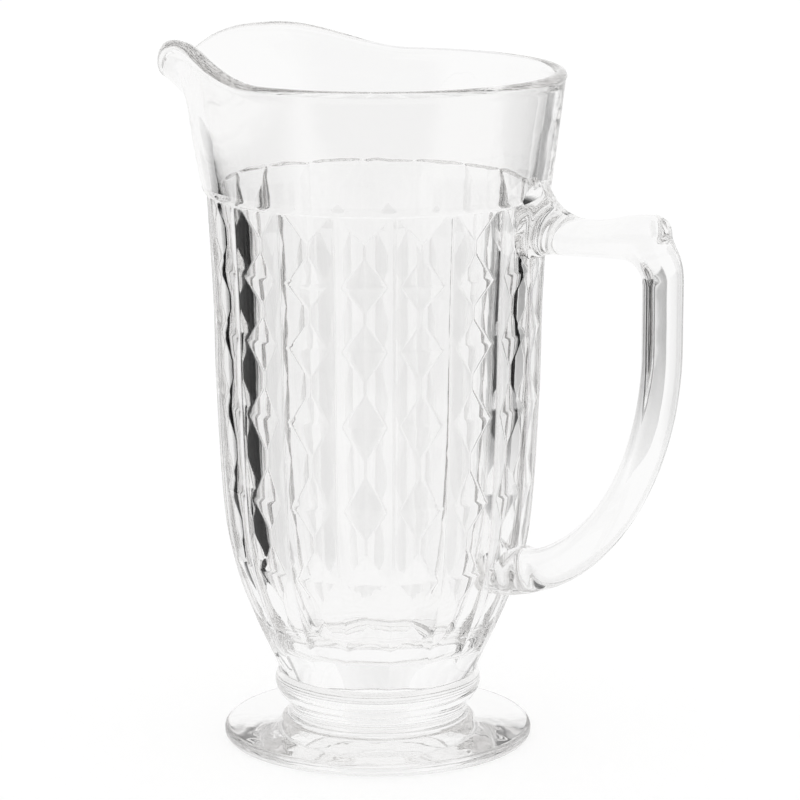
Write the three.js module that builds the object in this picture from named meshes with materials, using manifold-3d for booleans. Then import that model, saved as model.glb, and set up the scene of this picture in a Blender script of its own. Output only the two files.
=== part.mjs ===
// A footed pressed-glass pitcher: patterned bowl with a pouring lip, neck ring, round foot and D-shaped handle.
// Millimetres, +Z up. The origin is the centre of the foot's underside.
// The handle points along +X, the lip along -X.
import * as THREE from "three";
import { mergeVertices } from "three/addons/utils/BufferGeometryUtils.js";
import Module from "manifold-3d";

const wasm = await Module();
wasm.setup();

// Foot and its short stem
const FOOT_RADIUS = 52.9;
const FOOT_EDGE = 4.4;
const FOOT_EDGE_ROUND = 1.8;
const FOOT_CROWN = 6.6;
const STEM_FILLET = 3.4;
const STEM_WAIST_RADIUS = 30.5;
const STEM_TOP_RADIUS = 33.0;
const FOOT_HEIGHT = 14.5;

// Neck ring, which sits on the stem and carries the bowl
const RING_HEIGHT = 9.5;
const RING_BULGE = 2.0;
const NECK_RADIUS = 33.7;

// Bowl: heights above its own base and the outer radius there, from the neck up to the pattern's border
const BOWL_WALL = [
  [0, NECK_RADIUS],
  [6, 36.6],
  [16, 41.2],
  [30, 47.0],
  [44, 51.0],
  [60, 53.1],
  [100, 55.2],
  [128, 55.8],
  [166, 57.8],
];
const COLLAR_HEIGHT = 40.6;
const BORDER_STEP = 0.6;
const COLLAR_FLARE = 5.1;

// Glass thickness at the rim, at the pattern's border and low in the bowl
const RIM_THICKNESS = 4.5;
const BORDER_THICKNESS = 5.4;
const HEEL_THICKNESS = 7.0;
const FLOOR_THICKNESS = 10.0;
const FLOOR_CORNER = 12.0;

// Pressed pattern: panels between upright ribs sink to a middle line, with a low saddle between rows of cells
const PANELS = 18;
const CELL_DEPTH = 1.8;
const HIP_LENGTH = 0.4;
const SADDLE = 0.2;
const PATTERN_START = 15.0;
const PATTERN_LEDGE = 1.1;
const ROW_SHARES = [27, 25, 29, 25, 21.5, 22.5];

// Pouring lip and the wave of the rim beside it
const LIP_REACH = 12.4;
const LIP_ANGLE = 21.0;
const LIP_HEIGHT = 16.0;
const SWELL_REACH = 5.0;
const SWELL_ANGLE = 30.0;
const WAVE_RISE = 9.8;
const WAVE_CREST_ANGLE = 32.0;
const WAVE_END_ANGLE = 77.0;
const LIP_DIP_ANGLE = 12.5;
const LIP_DROP = 5.0;

// Handle: a flat outline with rounded edges, seen from the side
const HANDLE_WIDTH = 20.0;
const HANDLE_EDGE_ROUND = 4.7;
const HANDLE_EDGE_DEPTH = 7.4;
const ARM_LEVEL = 154.4;
const ARM_THICKNESS = 12.0;
const GRIP_REACH = 102.4;
const GRIP_THICKNESS = 11.6;
const GRIP_LOW = 119.0;
const GRIP_HIGH = 141.0;
const TAIL_LEVEL = 38.0;
const TAIL_THICKNESS = 14.0;
const TOP_ROOT_FILLET = 16.5;
const FINGER_CORNER = 7.5;
const THUMB_RISE = 3.0;
const THUMB_SETBACK = 4.3;
const THUMB_CORNER = 5.6;
const ROOT_SINK = 12.0;
const FIT_GAP = 0.3;

// Fineness of round forms
const LATHE_SEGMENTS = 48;
const CELL_SIDES = 2 * PANELS;
const COLLAR_SIDES = 2 * CELL_SIDES;
const CURVE_SEGMENTS = 8;

// Heights that the pieces share
const BOWL_BASE = FOOT_HEIGHT + RING_HEIGHT;
const BORDER = BOWL_BASE + BOWL_WALL.at(-1)[0];
const BORDER_RADIUS = BOWL_WALL.at(-1)[1];
const RIM = BORDER + COLLAR_HEIGHT;
const FLOOR = BOWL_BASE + FLOOR_THICKNESS;
const PATTERN_TOP = BORDER - PATTERN_LEDGE;
const PATTERN_BOTTOM = BOWL_BASE + PATTERN_START;

const degrees = THREE.MathUtils.radToDeg;
const lerp = THREE.MathUtils.lerp;

// Colourless glass, one material for each piece
function clearGlass() {
  return new THREE.MeshStandardMaterial({
    color: 0xeef1f0,
    roughness: 0.03,
    metalness: 0,
    transparent: true,
    opacity: 0.35,
  });
}

function addPiece(group, name, geometry) {
  const mesh = new THREE.Mesh(geometry, clearGlass());
  mesh.name = name;
  group.add(mesh);
}

// A round solid from a list of [radius, height] points that starts and ends on the axis
function turned(profile) {
  const points = profile.map(([radius, height]) => new THREE.Vector2(radius, height));
  return new THREE.LatheGeometry(points, LATHE_SEGMENTS).rotateX(Math.PI / 2);
}

// Points of a circular arc in a profile, from one angle in degrees to another
function arc(radius, height, size, from, to, steps) {
  return Array.from({ length: steps + 1 }, (_, i) => {
    const angle = THREE.MathUtils.degToRad(lerp(from, to, i / steps));
    return [radius + size * Math.cos(angle), height + size * Math.sin(angle)];
  });
}

function toSolid(geometry) {
  const bare = geometry.clone();
  bare.deleteAttribute("normal");
  bare.deleteAttribute("uv");
  const merged = mergeVertices(bare, 1e-4);
  const mesh = new wasm.Mesh({
    numProp: 3,
    vertProperties: merged.attributes.position.array,
    triVerts: new Uint32Array(merged.index.array),
  });
  return new wasm.Manifold(mesh);
}

function toGeometry(solid) {
  const mesh = solid.getMesh();
  const geometry = new THREE.BufferGeometry();
  geometry.setAttribute("position", new THREE.BufferAttribute(mesh.vertProperties, 3));
  geometry.setIndex(new THREE.BufferAttribute(mesh.triVerts, 1));
  geometry.computeVertexNormals();
  return geometry;
}

// Foot: flat underside, rounded edge, gently sloping top and a waisted stem
function footGeometry() {
  const edge = FOOT_RADIUS - FOOT_EDGE_ROUND;
  const hollow = STEM_WAIST_RADIUS + STEM_FILLET;
  return turned([
    [0, 0],
    ...arc(edge, FOOT_EDGE_ROUND, FOOT_EDGE_ROUND, -90, 0, 3),
    ...arc(edge, FOOT_EDGE - FOOT_EDGE_ROUND, FOOT_EDGE_ROUND, 0, 84, 3),
    ...arc(hollow, FOOT_CROWN + STEM_FILLET, STEM_FILLET, 266, 180, 4),
    [STEM_TOP_RADIUS, FOOT_HEIGHT],
    [0, FOOT_HEIGHT],
  ]);
}

// Neck ring: a disc whose rim bulges between the stem below and the bowl above
function neckRingGeometry() {
  const steps = 8;
  const rim = Array.from({ length: steps + 1 }, (_, i) => {
    const share = i / steps;
    const bulge = RING_BULGE * Math.sin(Math.PI * share) ** 0.8;
    return [lerp(STEM_TOP_RADIUS, NECK_RADIUS, share) + bulge, FOOT_HEIGHT + RING_HEIGHT * share];
  });
  return turned([[0, FOOT_HEIGHT], ...rim, [0, BOWL_BASE]]);
}

// Outer radius of the bowl at a height: a smooth curve through the stations, a small step, the collar's flare
function outerRadius(z) {
  const height = z - BOWL_BASE;
  if (z >= BORDER) return BORDER_RADIUS + BORDER_STEP + (COLLAR_FLARE * (z - BORDER)) / COLLAR_HEIGHT;
  const last = BOWL_WALL.length - 1;
  const i = Math.max(1, BOWL_WALL.findIndex(([station]) => station >= height));
  const slope = (k) => {
    const [low, high] = [BOWL_WALL[Math.max(k - 1, 0)], BOWL_WALL[Math.min(k + 1, last)]];
    return (high[1] - low[1]) / (high[0] - low[0]);
  };
  const [below, above] = [BOWL_WALL[i - 1], BOWL_WALL[i]];
  const span = above[0] - below[0];
  const t = (height - below[0]) / span;
  const ease = t * t * (3 - 2 * t);
  const start = (t * (1 - t) * (1 - t)) * span * slope(i - 1);
  const end = (t * t * (t - 1)) * span * slope(i);
  return lerp(below[1], above[1], ease) + start + end;
}

// Inner radius: the outer radius less the glass, with a rounded corner at the floor
function innerRadius(z) {
  const thickness =
    z >= BORDER
      ? lerp(BORDER_THICKNESS + BORDER_STEP, RIM_THICKNESS, (z - BORDER) / COLLAR_HEIGHT)
      : lerp(HEEL_THICKNESS, BORDER_THICKNESS, (z - FLOOR) / (BORDER - FLOOR));
  const rise = Math.min((z - FLOOR) / FLOOR_CORNER, 1);
  const corner = FLOOR_CORNER * (1 - Math.sqrt(1 - (1 - rise) ** 2));
  return outerRadius(z) - thickness - corner;
}

// A point of the collar, drawn out to the lip and lifted by the wave of the rim
function collarPoint(angle, radius, z) {
  const fromLip = Math.abs(degrees(angle) - 180);
  const height = THREE.MathUtils.clamp((z - BORDER) / COLLAR_HEIGHT, 0, 1);
  const lip = Math.max(0, (z - (RIM - LIP_HEIGHT)) / LIP_HEIGHT) ** 1.25;
  const beak = LIP_REACH * Math.exp(-((fromLip / LIP_ANGLE) ** 2)) * lip;
  const swell = SWELL_REACH * Math.exp(-((fromLip / SWELL_ANGLE) ** 2)) * Math.sqrt(height);
  const crest = 1 - THREE.MathUtils.smoothstep(fromLip, WAVE_CREST_ANGLE, WAVE_END_ANGLE);
  const dip = 1 - Math.exp(-((fromLip / LIP_DIP_ANGLE) ** 2));
  const reach = radius + beak + swell;
  const lift = (WAVE_RISE * crest * dip - LIP_DROP * (1 - dip)) * height ** 2;
  return new THREE.Vector3(reach * Math.cos(angle), reach * Math.sin(angle), z + lift);
}

// One ring of points: radiusAt gives each side's radius, place turns angle, radius and height into a point
function ring(sides, z, radiusAt, place) {
  return Array.from({ length: sides }, (_, i) => place((2 * Math.PI * i) / sides, radiusAt(i), z));
}

function roundPoint(angle, radius, z) {
  return new THREE.Vector3(radius * Math.cos(angle), radius * Math.sin(angle), z);
}

function plainRing(z, radius) {
  return ring(CELL_SIDES, z, () => radius, roundPoint);
}

function collarRing(z, radius) {
  return ring(COLLAR_SIDES, z, () => radius, collarPoint);
}

// A ring of the pattern: ribs at the full radius, and between them the middle of each panel, sunk by depth
function panelRing(z, depth) {
  const rib = outerRadius(z);
  const middle = rib * Math.cos(Math.PI / PANELS) - depth;
  return ring(CELL_SIDES, z, (i) => (i % 2 ? middle : rib), roundPoint);
}

// Rows of cells: each rises to a saddle at both ends and sinks to its full depth between its hips
function patternRings() {
  const total = ROW_SHARES.reduce((sum, share) => sum + share, 0);
  const depthAt = (z) => (CELL_DEPTH * outerRadius(z)) / BORDER_RADIUS;
  const rings = [panelRing(PATTERN_BOTTOM, SADDLE * depthAt(PATTERN_BOTTOM))];
  let base = PATTERN_BOTTOM;
  for (const share of ROW_SHARES) {
    const height = ((PATTERN_TOP - PATTERN_BOTTOM) * share) / total;
    const hip = height * HIP_LENGTH;
    const top = base + height;
    rings.push(panelRing(base + hip, depthAt(base + hip)));
    rings.push(panelRing(top - hip, depthAt(top - hip)));
    rings.push(panelRing(top, SADDLE * depthAt(top)));
    base = top;
  }
  return rings;
}

// Rounded rim: half a circle across the glass
function rimRings() {
  const half = RIM_THICKNESS / 2;
  const middle = outerRadius(RIM) - half;
  return arc(middle, RIM - half, half, 0, 180, 4).map(([radius, z]) => collarRing(z, radius));
}

// Outside of the bowl, from the middle of its base to the foot of the rim
function outerRings() {
  const collarLevels = [0, 0.17, 0.34, 0.5, 0.64, 0.75, 0.85].map((share) => BORDER + COLLAR_HEIGHT * share);
  return [
    [new THREE.Vector3(0, 0, BOWL_BASE)],
    plainRing(BOWL_BASE, NECK_RADIUS),
    ...patternRings(),
    ...collarLevels.map((z) => collarRing(z, outerRadius(z))),
  ];
}

// Over the rim and down the inside to the middle of the floor
function innerRings() {
  const insideLevels = [0.85, 0.7, 0.5, 0.25, 0].map((share) => BORDER + COLLAR_HEIGHT * share);
  const lowLevels = [0.94, 0.7, 0.45, 0.28].map((share) => lerp(FLOOR, BORDER, share));
  const cornerLevels = [1, 0.55, 0.25, 0.07, 0].map((share) => FLOOR + FLOOR_CORNER * share);
  return [
    ...rimRings(),
    ...insideLevels.map((z) => collarRing(z, innerRadius(z))),
    ...[...lowLevels, ...cornerLevels].map((z) => plainRing(z, innerRadius(z))),
    [new THREE.Vector3(0, 0, FLOOR)],
  ];
}

// Joins two rings with triangles. A ring of one point is a centre. One ring may have twice the other's sides.
// Each four-sided patch folds along its deeper diagonal, so the pressed facets stay flat.
function stitch(lower, upper, triangle) {
  const sides = Math.max(lower.length, upper.length);
  const at = (points, i) => points[Math.floor(((i % sides) * points.length) / sides)];
  const depth = (p, q) => Math.hypot(p.x + q.x, p.y + q.y);
  for (let i = 0; i < sides; i++) {
    const [a, b, c, d] = [at(lower, i), at(lower, i + 1), at(upper, i + 1), at(upper, i)];
    const patch = depth(a, c) <= depth(b, d) ? [[a, b, c], [a, c, d]] : [[a, b, d], [b, c, d]];
    patch.filter((corners) => new Set(corners).size === 3).forEach(triangle);
  }
}

// A closed solid over a stack of rings that starts and ends at a centre
function skinned(rings) {
  const positions = [];
  const triangle = (corners) => corners.forEach((p) => positions.push(p.x, p.y, p.z));
  rings.slice(1).forEach((upper, i) => stitch(rings[i], upper, triangle));
  const geometry = new THREE.BufferGeometry();
  geometry.setAttribute("position", new THREE.Float32BufferAttribute(positions, 3));
  return toSolid(geometry);
}

// Outline of the handle in the XZ plane: along its inside from the top root to the tail, and back outside
function handleOutline() {
  const arm = BOWL_BASE + ARM_LEVEL;
  const armTop = arm + ARM_THICKNESS / 2;
  const armUnder = arm - ARM_THICKNESS / 2;
  const gripOut = GRIP_REACH + GRIP_THICKNESS / 2;
  const gripIn = GRIP_REACH - GRIP_THICKNESS / 2;
  const gripLow = BOWL_BASE + GRIP_LOW;
  const gripHigh = BOWL_BASE + GRIP_HIGH;
  const tailTop = BOWL_BASE + TAIL_LEVEL + TAIL_THICKNESS / 2;
  const tailUnder = BOWL_BASE + TAIL_LEVEL - TAIL_THICKNESS / 2;
  const topRoot = outerRadius(armTop) - ROOT_SINK;
  const tailRoot = outerRadius(tailUnder);
  const collar = outerRadius(armTop + TOP_ROOT_FILLET / 2);
  const filletEnd = collar + TOP_ROOT_FILLET;
  const thumb = gripOut - THUMB_SETBACK;
  const thumbTop = armTop + THUMB_RISE;
  const shape = new THREE.Shape();
  shape.moveTo(topRoot, armUnder);
  shape.lineTo(gripIn - FINGER_CORNER, armUnder);
  shape.absarc(gripIn - FINGER_CORNER, armUnder - FINGER_CORNER, FINGER_CORNER, Math.PI / 2, 0, true);
  shape.lineTo(gripIn, gripLow);
  shape.absellipse(tailRoot, gripLow, gripIn - tailRoot, gripLow - tailTop, 0, -Math.PI / 2, true);
  shape.lineTo(tailRoot - ROOT_SINK, tailTop);
  shape.lineTo(tailRoot - ROOT_SINK, tailUnder);
  shape.absellipse(tailRoot, gripLow, gripOut - tailRoot, gripLow - tailUnder, -Math.PI / 2, 0, false);
  shape.lineTo(gripOut, gripHigh);
  shape.quadraticCurveTo(thumb, lerp(gripHigh, thumbTop, 0.55), thumb, thumbTop - THUMB_CORNER);
  shape.absarc(thumb - THUMB_CORNER, thumbTop - THUMB_CORNER, THUMB_CORNER, 0, Math.PI / 2, false);
  const crest = thumb - THUMB_CORNER;
  const middle = lerp(filletEnd, crest, 0.5);
  shape.bezierCurveTo(middle, thumbTop, middle, armTop, filletEnd, armTop);
  shape.absarc(filletEnd, armTop + TOP_ROOT_FILLET, TOP_ROOT_FILLET, -Math.PI / 2, -0.87 * Math.PI, true);
  shape.lineTo(topRoot, Math.min(armTop + 2 * TOP_ROOT_FILLET, RIM - HANDLE_EDGE_ROUND));
  return shape;
}

// Handle: the outline as a thick bar with rounded edges, its roots cut to the outside of the bowl
function handleGeometry(outside) {
  const bar = new THREE.ExtrudeGeometry(handleOutline(), {
    depth: HANDLE_WIDTH - 2 * HANDLE_EDGE_DEPTH,
    curveSegments: CURVE_SEGMENTS,
    bevelEnabled: true,
    bevelSegments: 4,
    bevelSize: HANDLE_EDGE_ROUND,
    bevelThickness: HANDLE_EDGE_DEPTH,
    bevelOffset: -HANDLE_EDGE_ROUND,
  });
  bar.translate(0, 0, HANDLE_EDGE_DEPTH - HANDLE_WIDTH / 2);
  bar.rotateX(Math.PI / 2);
  const filledBowl = skinned([...outside, [new THREE.Vector3(0, 0, RIM)]]).translate([FIT_GAP, 0, 0]);
  return toGeometry(toSolid(bar).subtract(filledBowl));
}

const pitcher = new THREE.Group();
const outside = outerRings();
addPiece(pitcher, "foot", footGeometry());
addPiece(pitcher, "neck_ring", neckRingGeometry());
addPiece(pitcher, "bowl", toGeometry(skinned([...outside, ...innerRings()])));
addPiece(pitcher, "handle", handleGeometry(outside));

export default pitcher;
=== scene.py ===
import math

import bmesh
import bpy
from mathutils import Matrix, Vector


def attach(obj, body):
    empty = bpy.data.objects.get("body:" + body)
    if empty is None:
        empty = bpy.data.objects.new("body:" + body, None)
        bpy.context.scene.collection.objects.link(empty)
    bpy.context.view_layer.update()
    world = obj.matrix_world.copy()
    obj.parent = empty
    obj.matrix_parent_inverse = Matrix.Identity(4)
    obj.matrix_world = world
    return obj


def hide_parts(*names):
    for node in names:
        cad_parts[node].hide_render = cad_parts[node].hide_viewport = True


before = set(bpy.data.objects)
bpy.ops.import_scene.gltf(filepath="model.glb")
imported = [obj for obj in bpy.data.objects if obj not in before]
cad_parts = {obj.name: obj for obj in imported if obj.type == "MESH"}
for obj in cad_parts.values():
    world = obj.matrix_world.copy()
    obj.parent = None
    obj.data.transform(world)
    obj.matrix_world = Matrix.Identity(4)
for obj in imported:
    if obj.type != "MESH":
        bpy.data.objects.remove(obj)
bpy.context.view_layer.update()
scene = bpy.context.scene

# The pitcher's sizes are in millimetres, its angles in degrees, and the scene is in metres
MM = 0.001

# Camera: the photograph's view, worked out from its rim, foot and handle
CAMERA_PLACE = Vector((502.57, -1109.94, 381.0)) * MM
CAMERA_TURN = 24.0
CAMERA_PITCH = 12.21
CAMERA_LENS = 164.95
CAMERA_SENSOR = 36.0
CAMERA_NEAREST = 0.01
CAMERA_FARTHEST = 50.0

# Foot and its short stem
FOOT_RADIUS = 52.9
FOOT_EDGE = 4.4
FOOT_EDGE_ROUND = 1.8
FOOT_EDGE_END = 84.0
FOOT_CROWN = 6.6
STEM_FILLET = 3.4
STEM_FILLET_START = 266.0
STEM_WAIST_RADIUS = 30.5
STEM_TOP_RADIUS = 33.0
FOOT_HEIGHT = 14.5

# Neck ring
RING_HEIGHT = 9.5
RING_BULGE = 2.0
RING_FULLNESS = 0.8
NECK_RADIUS = 33.7

# Bowl: heights above its own base and the outer radius there
BOWL_WALL = [
    (0, NECK_RADIUS),
    (6, 36.6),
    (16, 41.2),
    (30, 47.0),
    (44, 51.0),
    (60, 53.1),
    (100, 55.2),
    (128, 55.8),
    (166, 57.8),
]
COLLAR_HEIGHT = 40.6
BORDER_STEP = 0.6
COLLAR_FLARE = 5.1
RIM_THICKNESS = 4.5
BORDER_THICKNESS = 5.4
HEEL_THICKNESS = 7.0
FLOOR_THICKNESS = 10.0
FLOOR_CORNER = 12.0

# Pressed pattern: rows of sunk cells between upright ribs
PANELS = 18
CELL_DEPTH = 1.8
HIP_LENGTH = 0.4
SADDLE = 0.2
PATTERN_START = 15.0
PATTERN_LEDGE = 1.1
ROW_SHARES = [27, 25, 29, 25, 21.5, 22.5]

# Pouring lip and the wave of the rim
LIP_REACH = 12.4
LIP_ANGLE = 21.0
LIP_HEIGHT = 16.0
LIP_CURVE = 1.25
SWELL_REACH = 5.0
SWELL_ANGLE = 30.0
WAVE_RISE = 9.8
WAVE_CREST_ANGLE = 32.0
WAVE_END_ANGLE = 77.0
LIP_DIP_ANGLE = 12.5
LIP_DROP = 5.0

# Handle
HANDLE_WIDTH = 20.0
HANDLE_FULLNESS = 2.4
SEAM_HEIGHT = 0.25
SEAM_WIDTH = 0.9
ARM_LEVEL = 154.4
ARM_THICKNESS = 12.0
GRIP_REACH = 102.4
GRIP_THICKNESS = 11.6
GRIP_LOW = 119.0
GRIP_HIGH = 141.0
TAIL_LEVEL = 38.0
TAIL_THICKNESS = 14.0
TOP_ROOT_FILLET = 16.5
TOP_ROOT_START = -157.0
TOP_ROOT_END = -91.0
FINGER_CORNER = 7.5
THUMB_RISE = 3.0
THUMB_SETBACK = 4.3
THUMB_CORNER = 5.6
FLANK_LEAVE = 0.3
FLANK_ARRIVE = 0.6
ROOT_SINK = 3.5
TAIL_INSET = 0.3
ROOT_SWELL = 0.25
ROOT_SWELL_DROP = 2.0
ROOT_SWELL_LENGTH = 4.0

# Glass with faint ripples
GLASS_COLOUR = (0.984, 0.983, 0.982, 1)
GLASS_SHADOW = (0.955, 0.954, 0.952, 1)
GLASS_INDEX = 1.5
RIPPLE_SCALE = 90.0
RIPPLE_DETAIL = 1.5
RIPPLE_STRENGTH = 0.2
RIPPLE_DEPTH = 0.0004

# White ground under the pitcher, in metres
WHITE = (1, 1, 1, 1)
GROUND_REACH = 6.0
GROUND_DROP = 0.00005
GROUND_COLOUR = (0.86, 0.86, 0.86, 1)
GROUND_GLOW = 0.16

# Cards that only the glass shows: where their ends stand to the right of the axis and behind it, as the
# camera sees them, then height, tone, and the shares that pale towards the floor and towards both ends
CARDS = [
    ("left_black", (-124, 60), (-135, -30), 178, 0.01, 0.02, 0.02),
    ("left_grey", (-130, 120), (-156, -160), 178, 0.16, 0.05, 0.25),
    ("right_black", (259, 132), (283, 28), 170, 0.01, 0.3, 0.02),
    ("right_grey", (268, 122), (310, -70), 170, 0.08, 0.3, 0.25),
    ("grip_grey", (165, 200), (259, 132), 170, 0.4, 0.6, 0.15),
    ("back_pale", (-36, 200), (36, 196), 140, 0.92, 0.02, 0.4),
    ("front_grey", (-600, -480), (600, -480), 450, 0.5, 0.05, 0.2),
]
CARD_PALE = (0.98, 0.98, 0.98, 1)
CARD_TOP = 0.95

# Fineness: the steps that each form is drawn in, a panel's from its rib to its middle
PANEL_STEPS = 15
LATHE_SIDES = 180
HANDLE_SIDES = 56
FOOT_EDGE_STEPS = 8
FOOT_SLOPE_STEPS = 12
STEM_FILLET_STEPS = 10
STEM_STEPS = 6
RING_STEPS = 24
NECK_STEPS = 10
CELL_STEPS = 5
LEDGE_STEPS = 8
COLLAR_STEPS = 40
COLLAR_INSIDE_STEPS = 30
RIM_STEPS = 14
WALL_INSIDE_STEPS = 24
FLOOR_CORNER_STEPS = 14
TOP_ROOT_STEPS = 33
ARM_STEPS = 36
THUMB_STEPS = 10
FLANK_STEPS = 14
FINGER_STEPS = 16
CORNER_STEPS = 40
GRIP_STEPS = 16
TAIL_STEPS = 64

# The collar's top levels, which the round of the rim takes up
RIM_LEVELS = 3

# Least bend in radians at which a patch is folded, and how near two levels count as the same
FOLD_ANGLE = 0.02
LEVEL_SLACK = 0.01

# Levels and sizes that follow from the ones above
SIDES = 2 * PANELS * PANEL_STEPS
BOWL_BASE = FOOT_HEIGHT + RING_HEIGHT
BORDER = BOWL_BASE + BOWL_WALL[-1][0]
BORDER_RADIUS = BOWL_WALL[-1][1]
RIM = BORDER + COLLAR_HEIGHT
FLOOR = BOWL_BASE + FLOOR_THICKNESS
PATTERN_TOP = BORDER - PATTERN_LEDGE
PATTERN_BOTTOM = BOWL_BASE + PATTERN_START
ARM_TOP = BOWL_BASE + ARM_LEVEL + ARM_THICKNESS / 2
ARM_UNDER = BOWL_BASE + ARM_LEVEL - ARM_THICKNESS / 2
GRIP_OUT = GRIP_REACH + GRIP_THICKNESS / 2
GRIP_IN = GRIP_REACH - GRIP_THICKNESS / 2
GRIP_BOTTOM = BOWL_BASE + GRIP_LOW
GRIP_TOP = BOWL_BASE + GRIP_HIGH
TAIL_TOP = BOWL_BASE + TAIL_LEVEL + TAIL_THICKNESS / 2
TAIL_UNDER = BOWL_BASE + TAIL_LEVEL - TAIL_THICKNESS / 2
THUMB = GRIP_OUT - THUMB_SETBACK
THUMB_TOP = ARM_TOP + THUMB_RISE
THUMB_START = THUMB - THUMB_CORNER
FINGER_START = GRIP_IN - FINGER_CORNER


# Points and curves
def lerp(a, b, t):
    return a + (b - a) * t


def between(a, b, t):
    """The point at a share t of the way from a to b."""
    return tuple(lerp(p, q, t) for p, q in zip(a, b))


def smoothstep(x, low, high):
    t = min(max((x - low) / (high - low), 0.0), 1.0)
    return t * t * (3 - 2 * t)


def arc(radius, height, size, start, end, steps):
    """Points round a centre that stands at a radius from the axis and a height."""
    found = []
    for i in range(steps + 1):
        angle = math.radians(lerp(start, end, i / steps))
        found.append((radius + size * math.cos(angle), height + size * math.sin(angle)))
    return found


def circle(radius, z, sides=LATHE_SIDES):
    return [
        (radius * math.cos(2 * math.pi * i / sides), radius * math.sin(2 * math.pi * i / sides), z)
        for i in range(sides)
    ]


def bezier(controls, steps):
    """Points of a curve with four control points, without its start."""
    found = []
    for i in range(1, steps + 1):
        t = i / steps
        s = 1 - t
        point = []
        for a, b, c, d in zip(*controls):
            point.append(s**3 * a + 3 * s * s * t * b + 3 * s * t * t * c + t**3 * d)
        found.append(tuple(point))
    return found


def spread(points, count):
    """Points evenly spaced along a polyline."""
    lengths = [0.0]
    for a, b in zip(points, points[1:]):
        lengths.append(lengths[-1] + math.dist(a, b))
    found = []
    k = 0
    for i in range(count + 1):
        target = lengths[-1] * i / count
        while k < len(points) - 2 and lengths[k + 1] < target:
            k += 1
        share = (target - lengths[k]) / (lengths[k + 1] - lengths[k])
        found.append(between(points[k], points[k + 1], share))
    return found


# Camera
camera_data = bpy.data.cameras.new("camera")
camera_data.lens = CAMERA_LENS
camera_data.sensor_width = CAMERA_SENSOR
camera_data.clip_start = CAMERA_NEAREST
camera_data.clip_end = CAMERA_FARTHEST
camera = bpy.data.objects.new("camera", camera_data)
camera.location = CAMERA_PLACE
camera.rotation_euler = (math.radians(90 - CAMERA_PITCH), 0, math.radians(CAMERA_TURN))
scene.collection.objects.link(camera)
scene.camera = camera


# Materials
def new_material(name):
    material = bpy.data.materials.new(name)
    material.use_nodes = True
    material.node_tree.nodes.clear()
    return material, material.node_tree.nodes, material.node_tree.links


def add_node(nodes, kind, **values):
    """A new shader node with values set on its inputs."""
    node = nodes.new("ShaderNode" + kind)
    for socket, value in values.items():
        node.inputs[socket].default_value = value
    return node


def set_surface(nodes, links, shader):
    out = add_node(nodes, "OutputMaterial")
    links.new(shader, out.inputs["Surface"])


def greater(nodes, links, first, second):
    """The greater of two values."""
    node = add_node(nodes, "Math")
    node.operation = "MAXIMUM"
    links.new(first, node.inputs[0])
    links.new(second, node.inputs[1])
    return node.outputs[0]


def by_ray(nodes, links, rays, usual, other):
    """The usual shader, and another one for two kinds of light ray."""
    path = add_node(nodes, "LightPath")
    mix = add_node(nodes, "MixShader")
    share = greater(nodes, links, path.outputs[rays[0]], path.outputs[rays[1]])
    links.new(share, mix.inputs["Fac"])
    links.new(usual, mix.inputs[1])
    links.new(other, mix.inputs[2])
    return mix.outputs["Shader"]


def glass_material():
    material, nodes, links = new_material("clear_pressed_glass")
    glass = add_node(nodes, "BsdfGlass", Color=GLASS_COLOUR, Roughness=0.0, IOR=GLASS_INDEX)
    clear = add_node(nodes, "BsdfTransparent", Color=GLASS_SHADOW)
    rays = ("Is Shadow Ray", "Is Diffuse Ray")
    shader = by_ray(nodes, links, rays, glass.outputs["BSDF"], clear.outputs["BSDF"])
    set_surface(nodes, links, shader)
    coords = add_node(nodes, "TexCoord")
    ripple = add_node(nodes, "TexNoise", Scale=RIPPLE_SCALE, Detail=RIPPLE_DETAIL)
    bump = add_node(nodes, "Bump", Strength=RIPPLE_STRENGTH, Distance=RIPPLE_DEPTH)
    links.new(coords.outputs["Object"], ripple.inputs["Vector"])
    links.new(ripple.outputs["Fac"], bump.inputs["Height"])
    links.new(bump.outputs["Normal"], glass.inputs["Normal"])
    return material


def joint_material():
    material, nodes, links = new_material("fused_joint")
    clear = add_node(nodes, "BsdfTransparent")
    set_surface(nodes, links, clear.outputs["BSDF"])
    return material


def ground_material():
    """A white that takes the pitcher's shadow, and a plain white where the glass shows it."""
    material, nodes, links = new_material("white_floor")
    paint = add_node(nodes, "BsdfDiffuse", Color=GROUND_COLOUR)
    glow = add_node(nodes, "Emission", Color=WHITE, Strength=GROUND_GLOW)
    white = add_node(nodes, "Emission", Color=WHITE, Strength=1.0)
    both = add_node(nodes, "AddShader")
    links.new(paint.outputs["BSDF"], both.inputs[0])
    links.new(glow.outputs["Emission"], both.inputs[1])
    rays = ("Is Glossy Ray", "Is Transmission Ray")
    shader = by_ray(nodes, links, rays, both.outputs["Shader"], white.outputs["Emission"])
    set_surface(nodes, links, shader)
    return material


def pale_ends(nodes, tone, start, end):
    """A ramp that has the card's tone from start to end and is nearly white outside them."""
    ramp = add_node(nodes, "ValToRGB")
    for element in ramp.color_ramp.elements:
        element.color = CARD_PALE
    for place in (start, end):
        ramp.color_ramp.elements.new(place).color = (tone, tone, tone, 1)
    return ramp


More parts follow.
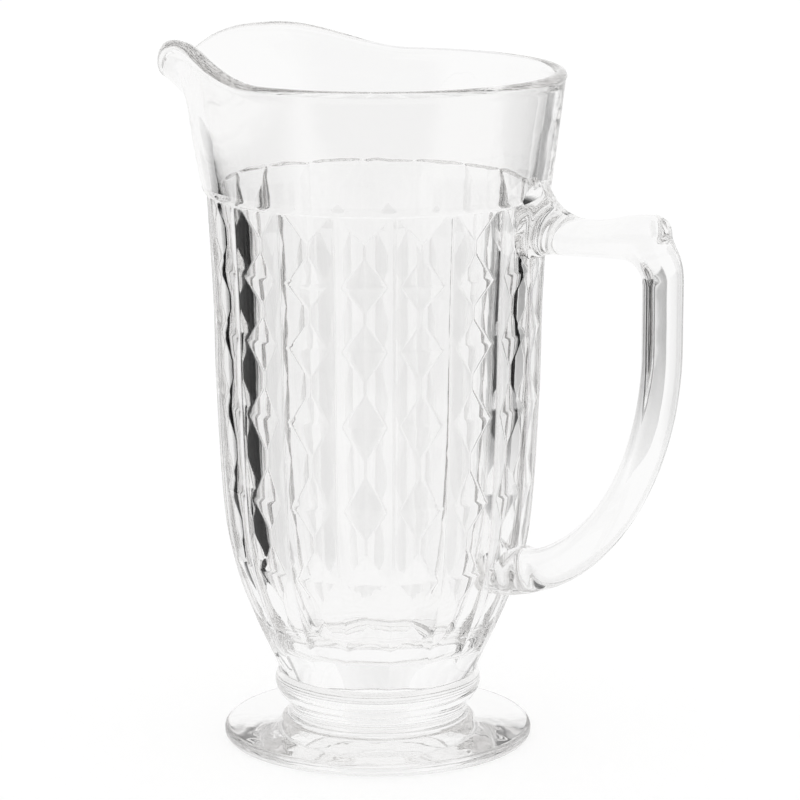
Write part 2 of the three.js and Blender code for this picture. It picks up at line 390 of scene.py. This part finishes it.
def card_material(name, tone, foot_share, end_share):
    material, nodes, links = new_material(name)
    coords = add_node(nodes, "TexCoord")
    split = add_node(nodes, "SeparateXYZ")
    upright = pale_ends(nodes, tone, foot_share, CARD_TOP)
    along = pale_ends(nodes, tone, end_share, 1 - end_share)
    paint = add_node(nodes, "BsdfDiffuse")
    links.new(coords.outputs["Generated"], split.inputs["Vector"])
    links.new(split.outputs["Z"], upright.inputs["Fac"])
    links.new(split.outputs["X"], along.inputs["Fac"])
    paler = greater(nodes, links, upright.outputs["Color"], along.outputs["Color"])
    links.new(paler, paint.inputs["Color"])
    set_surface(nodes, links, paint.outputs["BSDF"])
    return material


GLASS = glass_material()
JOINT = joint_material()


# Meshes from stacked rings of points
def mesh_from_rings(name, rings, joints=()):
    """Joins each ring to the next. A ring of one point is a centre. joints: numbers of the fused bands."""
    mesh = bpy.data.meshes.new(name)
    points, faces, marks, starts = [], [], [], []
    for ring in rings:
        starts.append(len(points))
        points.extend(Vector(p) * MM for p in ring)
    for k in range(len(rings) - 1):
        low, high = rings[k], rings[k + 1]
        a, b = starts[k], starts[k + 1]
        count = max(len(low), len(high))
        for i in range(count):
            j = (i + 1) % count
            if len(low) == 1:
                face = (a, b + j, b + i)
            elif len(high) == 1:
                face = (a + i, a + j, b)
            else:
                face = (a + i, a + j, b + j, b + i)
            faces.append(face)
            marks.append(1 if k in joints else 0)
    mesh.from_pydata(points, [], faces)
    mesh.materials.append(GLASS)
    mesh.materials.append(JOINT)
    mesh.polygons.foreach_set("material_index", marks)
    mesh.polygons.foreach_set("use_smooth", [True] * len(faces))
    mesh.update()
    return mesh


# Foot
def foot_mesh():
    edge = FOOT_RADIUS - FOOT_EDGE_ROUND
    edge_top = FOOT_EDGE - FOOT_EDGE_ROUND
    hollow = STEM_WAIST_RADIUS + STEM_FILLET
    hollow_level = FOOT_CROWN + STEM_FILLET
    profile = arc(edge, FOOT_EDGE_ROUND, FOOT_EDGE_ROUND, -90, 0, FOOT_EDGE_STEPS)
    profile += arc(edge, edge_top, FOOT_EDGE_ROUND, 0, FOOT_EDGE_END, FOOT_EDGE_STEPS)
    fillet = arc(hollow, hollow_level, STEM_FILLET, STEM_FILLET_START, 180, STEM_FILLET_STEPS)
    slope_start = profile[-1]
    for i in range(1, FOOT_SLOPE_STEPS):
        profile.append(between(slope_start, fillet[0], i / FOOT_SLOPE_STEPS))
    profile += fillet
    waist = profile[-1]
    for i in range(1, STEM_STEPS + 1):
        t = i / STEM_STEPS
        profile.append((lerp(waist[0], STEM_TOP_RADIUS, t * t), lerp(waist[1], FOOT_HEIGHT, t)))
    rings = [[(0, 0, 0)]] + [circle(r, z) for r, z in profile] + [[(0, 0, FOOT_HEIGHT)]]
    return mesh_from_rings("foot_glass", rings, joints={len(rings) - 2})


# Neck ring
def ring_mesh():
    rings = [[(0, 0, FOOT_HEIGHT)]]
    for i in range(RING_STEPS + 1):
        t = i / RING_STEPS
        bulge = RING_BULGE * math.sin(math.pi * t) ** RING_FULLNESS if 0 < t < 1 else 0
        radius = lerp(STEM_TOP_RADIUS, NECK_RADIUS, t) + bulge
        rings.append(circle(radius, FOOT_HEIGHT + RING_HEIGHT * t))
    rings.append([(0, 0, BOWL_BASE)])
    return mesh_from_rings("ring_glass", rings, joints={0, len(rings) - 2})


# Bowl
def wall_slope(k):
    """How fast the wall widens at one of its stations."""
    low = BOWL_WALL[max(k - 1, 0)]
    high = BOWL_WALL[min(k + 1, len(BOWL_WALL) - 1)]
    return (high[1] - low[1]) / (high[0] - low[0])


def outer_radius(z):
    """Radius of the outside at a level, smooth through the wall's stations and flared above them."""
    if z >= BORDER:
        return BORDER_RADIUS + BORDER_STEP + COLLAR_FLARE * (z - BORDER) / COLLAR_HEIGHT
    height = z - BOWL_BASE
    i = max(1, next(k for k, (station, _) in enumerate(BOWL_WALL) if station >= height))
    below, above = BOWL_WALL[i - 1], BOWL_WALL[i]
    span = above[0] - below[0]
    t = (height - below[0]) / span
    ease = t * t * (3 - 2 * t)
    start = t * (1 - t) * (1 - t) * span * wall_slope(i - 1)
    end = t * t * (t - 1) * span * wall_slope(i)
    return lerp(below[1], above[1], ease) + start + end


def inner_radius(z):
    """Radius of the inside at a level, with the round corner of its floor."""
    if z >= BORDER:
        thickness = lerp(BORDER_THICKNESS + BORDER_STEP, RIM_THICKNESS, (z - BORDER) / COLLAR_HEIGHT)
    else:
        thickness = lerp(HEEL_THICKNESS, BORDER_THICKNESS, (z - FLOOR) / (BORDER - FLOOR))
    rise = min((z - FLOOR) / FLOOR_CORNER, 1)
    corner = FLOOR_CORNER * (1 - math.sqrt(max(0.0, 1 - (1 - rise) ** 2)))
    return outer_radius(z) - thickness - corner


def collar_point(angle, radius, z):
    """A point of the collar, drawn out towards the lip and moved up or down by the wave of the rim."""
    from_lip = abs(math.degrees(angle) - 180)
    height = min(max((z - BORDER) / COLLAR_HEIGHT, 0.0), 1.0)
    lip = max(0.0, (z - (RIM - LIP_HEIGHT)) / LIP_HEIGHT) ** LIP_CURVE
    beak = LIP_REACH * math.exp(-((from_lip / LIP_ANGLE) ** 2)) * lip
    swell = SWELL_REACH * math.exp(-((from_lip / SWELL_ANGLE) ** 2)) * math.sqrt(height)
    crest = 1 - smoothstep(from_lip, WAVE_CREST_ANGLE, WAVE_END_ANGLE)
    dip = 1 - math.exp(-((from_lip / LIP_DIP_ANGLE) ** 2))
    reach = radius + beak + swell
    lift = (WAVE_RISE * crest * dip - LIP_DROP * (1 - dip)) * height**2
    return (reach * math.cos(angle), reach * math.sin(angle), z + lift)


def collar_ring(radius, z):
    return [collar_point(2 * math.pi * i / SIDES, radius, z) for i in range(SIDES)]


def collar_levels(steps):
    """Levels from the border up to where the round of the rim starts."""
    return [BORDER + COLLAR_HEIGHT * i / steps for i in range(steps + 1 - RIM_LEVELS)]


def cell_rows():
    """Low end and height of each row of cells."""
    rows = []
    base = PATTERN_BOTTOM
    for share in ROW_SHARES:
        height = (PATTERN_TOP - PATTERN_BOTTOM) * share / sum(ROW_SHARES)
        rows.append((base, height))
        base += height
    return rows


ROWS = cell_rows()


def row_at(z):
    """Low end and height of the row of cells that a level is in."""
    return next((row for row in ROWS if z <= row[0] + row[1] + LEVEL_SLACK), ROWS[-1])


def pattern_ring(z):
    """A ring of the outside below the ledge: round at the neck, panelled above it, with sunk cells."""
    rib = outer_radius(z)
    flat = smoothstep(z, BOWL_BASE, PATTERN_BOTTOM)
    sunk = 0.0
    sink = 0.0
    if z > PATTERN_BOTTOM:
        base, height = row_at(z)
        hip = height * HIP_LENGTH
        sunk = CELL_DEPTH * outer_radius(base + height / 2) / BORDER_RADIUS
        ends = min(min(z - base, base + height - z) / hip, 1.0)
        sink = lerp(SADDLE, 1.0, ends)
    ring = []
    half = math.pi / PANELS
    for i in range(SIDES):
        angle = 2 * math.pi * i / SIDES
        across = (angle / half) % 2.0
        across = min(across, 2.0 - across)
        chord = rib * math.cos(half) / math.cos(half - across * half)
        radius = lerp(rib, chord, flat) - sunk * min(across, sink)
        ring.append((radius * math.cos(angle), radius * math.sin(angle), z))
    return ring


def pattern_levels():
    levels = [BOWL_BASE + PATTERN_START * i / NECK_STEPS for i in range(NECK_STEPS + 1)]
    steps = round(PANEL_STEPS * (1 - SADDLE))
    for base, height in ROWS:
        hip = height * HIP_LENGTH
        levels.extend(base + hip * i / steps for i in range(1, steps + 1))
        levels.extend(base + lerp(hip, height - hip, i / CELL_STEPS) for i in range(1, CELL_STEPS))
        levels.extend(base + height - hip * (1 - i / steps) for i in range(steps + 1))
    return levels


def ledge_rings(low, high):
    """The ledge under the collar, rounded where it leaves the pattern and where it meets the collar."""
    rings = []
    for i in range(1, LEDGE_STEPS):
        t = i / LEDGE_STEPS
        out = smoothstep(t, 0.0, 1.0)
        rings.append([(*between(a[:2], b[:2], out), lerp(a[2], b[2], t)) for a, b in zip(low, high)])
    return rings


def outer_rings():
    rings = [pattern_ring(z) for z in pattern_levels()]
    rings += ledge_rings(rings[-1], collar_ring(outer_radius(BORDER), BORDER))
    rings += [collar_ring(outer_radius(z), z) for z in collar_levels(COLLAR_STEPS)]
    return rings


def fold_hips(mesh):
    """Splits the patches that cross a cell's hip along it."""
    made = bmesh.new()
    made.from_mesh(mesh)
    lowest = PATTERN_BOTTOM - LEVEL_SLACK
    highest = PATTERN_TOP + LEVEL_SLACK
    for face in list(made.faces):
        heights = [v.co.z / MM for v in face.verts]
        if len(heights) < 4 or min(heights) < lowest or max(heights) > highest:
            continue
        a, b, c, d = face.verts
        if (b.co - a.co).cross(c.co - a.co).angle((c.co - a.co).cross(d.co - a.co)) > FOLD_ANGLE:
            deep = (a.co + c.co).xy.length < (b.co + d.co).xy.length
            bmesh.utils.face_split(face, *((a, c) if deep else (b, d)))
    made.to_mesh(mesh)
    made.free()
    return mesh


def bowl_mesh():
    half = RIM_THICKNESS / 2
    rim = arc(outer_radius(RIM) - half, RIM - half, half, 0, 180, RIM_STEPS)
    inside = reversed(collar_levels(COLLAR_INSIDE_STEPS))
    low = [lerp(BORDER, FLOOR + FLOOR_CORNER, i / WALL_INSIDE_STEPS) for i in range(1, WALL_INSIDE_STEPS)]
    turns = [math.pi / 2 * i / FLOOR_CORNER_STEPS for i in range(FLOOR_CORNER_STEPS + 1)]
    corner = [FLOOR + FLOOR_CORNER * (1 - math.sin(turn)) for turn in turns]
    rings = [[(0, 0, BOWL_BASE)], *outer_rings()]
    rings += [collar_ring(radius, z) for radius, z in rim]
    rings += [collar_ring(inner_radius(z), z) for z in inside]
    rings += [circle(inner_radius(z), z, SIDES) for z in low + corner]
    rings.append([(0, 0, FLOOR)])
    return fold_hips(mesh_from_rings("bowl_glass", rings, joints={0}))


def filled_bowl_mesh():
    rings = [[(0, 0, BOWL_BASE)], *outer_rings(), [(0, 0, RIM)]]
    return mesh_from_rings("filled_bowl", rings)


# Handle: each stretch gives paired points of its inner and outer outline in the XZ plane
def root_swell(x, z):
    """How far a point of the handle is into the swelling at its roots: 1 at the wall, 0 well away."""
    reach = max(x - outer_radius(z), 0.0)
    return math.exp(-((reach / ROOT_SWELL_LENGTH) ** 2))


def arm_stretch():
    """From the top root along the arm: its underside, and its top from the root's fillet to the thumb."""
    root = outer_radius(ARM_TOP + TOP_ROOT_FILLET / 2) + TOP_ROOT_FILLET
    level = ARM_TOP + TOP_ROOT_FILLET
    fillet = arc(root, level, TOP_ROOT_FILLET, TOP_ROOT_START, TOP_ROOT_END, TOP_ROOT_STEPS)
    top_x, top_z = fillet[0]
    sunk = [(top_x - ROOT_SINK * s, top_z + 2 * ROOT_SINK * s) for s in (1, 0.75, 0.5, 0.25)]
    middle = lerp(root, THUMB_START, 0.5)
    rise = [(root, ARM_TOP), (middle, ARM_TOP), (middle, THUMB_TOP), (THUMB_START, THUMB_TOP)]
    outer = sunk + fillet + bezier(rise, ARM_STEPS)
    start = (outer_radius(ARM_UNDER) - ROOT_SINK, ARM_UNDER)
    end = (FINGER_START, ARM_UNDER)
    inner = [between(start, end, i / (len(outer) - 1)) for i in range(len(outer))]
    inner = [(x, z - ROOT_SWELL_DROP * root_swell(x, z)) for x, z in inner]
    return inner, outer


def corner_stretch():
    """The finger's corner inside, and the thumb's corner with the flank below it outside."""
    finger = arc(FINGER_START, ARM_UNDER - FINGER_CORNER, FINGER_CORNER, 90, 0, FINGER_STEPS)
    high = THUMB_TOP - THUMB_CORNER
    thumb = arc(THUMB_START, high, THUMB_CORNER, 90, 0, THUMB_STEPS)
    drop = high - GRIP_TOP
    leave = (THUMB, high - FLANK_LEAVE * drop)
    arrive = (GRIP_OUT, GRIP_TOP + FLANK_ARRIVE * drop)
    flank = bezier([(THUMB, high), leave, arrive, (GRIP_OUT, GRIP_TOP)], FLANK_STEPS)
    inner = spread(finger, CORNER_STEPS)[1:]
    outer = spread(thumb + flank, CORNER_STEPS)[1:]
    return inner, outer


def grip_stretch():
    """The straight part of the grip."""
    shares = [i / GRIP_STEPS for i in range(1, GRIP_STEPS + 1)]
    inner = [(GRIP_IN, lerp(ARM_UNDER - FINGER_CORNER, GRIP_BOTTOM, s)) for s in shares]
    outer = [(GRIP_OUT, lerp(GRIP_TOP, GRIP_BOTTOM, s)) for s in shares]
    return inner, outer


def tail_curve(root, reach, level):
    """A quarter of an ellipse from the low end of the grip round to the root of the tail."""
    found = []
    for i in range(1, TAIL_STEPS + 1):
        angle = math.pi / 2 * i / TAIL_STEPS
        found.append((lerp(root, reach, math.cos(angle)), lerp(GRIP_BOTTOM, level, math.sin(angle))))
    return found


def tail_stretch():
    """From the grip round to the bowl, with the end of the tail sunk into the wall."""
    root = outer_radius(TAIL_UNDER)
    inner = [(x, z + ROOT_SWELL_DROP * root_swell(x, z)) for x, z in tail_curve(root, GRIP_IN, TAIL_TOP)]
    inner += [(root - TAIL_INSET * i / 3, TAIL_TOP + ROOT_SWELL_DROP) for i in (1, 2, 3)]
    outer = tail_curve(root, GRIP_OUT, TAIL_UNDER)
    outer += [(root - ROOT_SINK * s, TAIL_UNDER) for s in (0.33, 0.67, 1)]
    return inner, outer


def handle_section(inner, outer):
    """A rounded bar's outline between two points, fuller than an oval, with a mould seam at each."""
    half = math.dist(inner, outer) / 2
    wide = HANDLE_WIDTH / 2 * (1 + ROOT_SWELL * root_swell(*inner))
    middle = Vector(((inner[0] + outer[0]) / 2, 0, (inner[1] + outer[1]) / 2))
    out = Vector((outer[0] - inner[0], 0, outer[1] - inner[1])).normalized()
    side = Vector((0, 1, 0))
    found = []
    for i in range(HANDLE_SIDES):
        angle = 2 * math.pi * i / HANDLE_SIDES
        x = half * math.copysign(abs(math.cos(angle)) ** (2 / HANDLE_FULLNESS), math.cos(angle))
        y = wide * math.copysign(abs(math.sin(angle)) ** (2 / HANDLE_FULLNESS), math.sin(angle))
        if i % (HANDLE_SIDES // 2) == 0:
            turn = 1 if i == 0 else -1
            found.append(middle + out * x - side * SEAM_WIDTH / 2 * turn)
            found.append(middle + out * (x + SEAM_HEIGHT * turn))
            found.append(middle + out * x + side * SEAM_WIDTH / 2 * turn)
        else:
            found.append(middle + out * x + side * y)
    return found


def handle_mesh():
    sections = []
    for inner, outer in (arm_stretch(), corner_stretch(), grip_stretch(), tail_stretch()):
        sections += [handle_section(a, b) for a, b in zip(inner, outer)]
    first = sum(sections[0], Vector()) / len(sections[0])
    last = sum(sections[-1], Vector()) / len(sections[-1])
    mesh = mesh_from_rings("handle_glass", [[first], *sections, [last]])
    made = bmesh.new()
    made.from_mesh(mesh)
    bmesh.ops.recalc_face_normals(made, faces=made.faces)
    made.to_mesh(mesh)
    made.free()
    return mesh


# Joint of bowl and handle
def cut(mesh, other):
    """The mesh less the space of the other. The faces that the cut leaves are fused ones."""
    other.polygons.foreach_set("material_index", [1] * len(other.polygons))
    body = bpy.data.objects.new("body", mesh)
    cutter = bpy.data.objects.new("cutter", other)
    scene.collection.objects.link(body)
    scene.collection.objects.link(cutter)
    modifier = body.modifiers.new("cut", "BOOLEAN")
    modifier.operation = "DIFFERENCE"
    modifier.solver = "EXACT"
    modifier.object = cutter
    modifier.material_mode = "INDEX"
    graph = bpy.context.evaluated_depsgraph_get()
    result = bpy.data.meshes.new_from_object(body.evaluated_get(graph))
    for helper in (body, cutter):
        bpy.data.objects.remove(helper)
    result.name = mesh.name
    return result


def crisp_edges(mesh):
    """Sharp edges round the fused faces."""
    made = bmesh.new()
    made.from_mesh(mesh)
    for edge in made.edges:
        if edge.is_manifold and len({face.material_index for face in edge.link_faces}) == 2:
            edge.smooth = False
    made.to_mesh(mesh)
    made.free()


# The four pieces
def new_piece(name, mesh, node):
    piece = bpy.data.objects.new(name, mesh)
    scene.collection.objects.link(piece)
    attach(piece, "root")
    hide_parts(node)


bowl_data = cut(bowl_mesh(), handle_mesh())
handle_data = cut(handle_mesh(), filled_bowl_mesh())
crisp_edges(bowl_data)
crisp_edges(handle_data)
new_piece("foot_glass", foot_mesh(), "foot")
new_piece("ring_glass", ring_mesh(), "neck_ring")
new_piece("bowl_glass", bowl_data, "bowl")
new_piece("handle_glass", handle_data, "handle")


# Ground and cards
def new_sheet(name, corners, material):
    mesh = bpy.data.meshes.new(name)
    mesh.from_pydata(corners, [], [(0, 1, 2, 3)])
    mesh.materials.append(material)
    obj = bpy.data.objects.new(name, mesh)
    scene.collection.objects.link(obj)
    return obj


def ground():
    far = GROUND_REACH
    corners = [(-far, -far, 0), (far, -far, 0), (far, far, 0), (-far, far, 0)]
    obj = new_sheet("floor", corners, ground_material())
    obj.location.z = -GROUND_DROP


def card(name, start, end, height, tone, foot_share, end_share):
    turn = math.radians(CAMERA_TURN)
    right = Vector((math.cos(turn), math.sin(turn), 0))
    away = Vector((-math.sin(turn), math.cos(turn), 0))
    feet = [(right * x + away * y) * MM for x, y in (start, end)]
    lift = Vector((0, 0, height * MM))
    corners = [feet[0], feet[1], feet[1] + lift, feet[0] + lift]
    obj = new_sheet(name, corners, card_material(name, tone, foot_share, end_share))
    obj.visible_camera = False
    obj.visible_diffuse = False
    obj.visible_shadow = False


ground()
for settings in CARDS:
    card(*settings)

# World: plain white studio
world = bpy.data.worlds.new("studio")
world.use_nodes = True
scene.world = world
background = world.node_tree.nodes["Background"]
background.inputs["Color"].default_value = WHITE
background.inputs["Strength"].default_value = 1.0

# Plain tones, and light that passes many layers of glass
scene.view_settings.view_transform = "Standard"
scene.cycles.max_bounces = 40
scene.cycles.transmission_bounces = 40
scene.cycles.glossy_bounces = 24
scene.cycles.transparent_max_bounces = 64
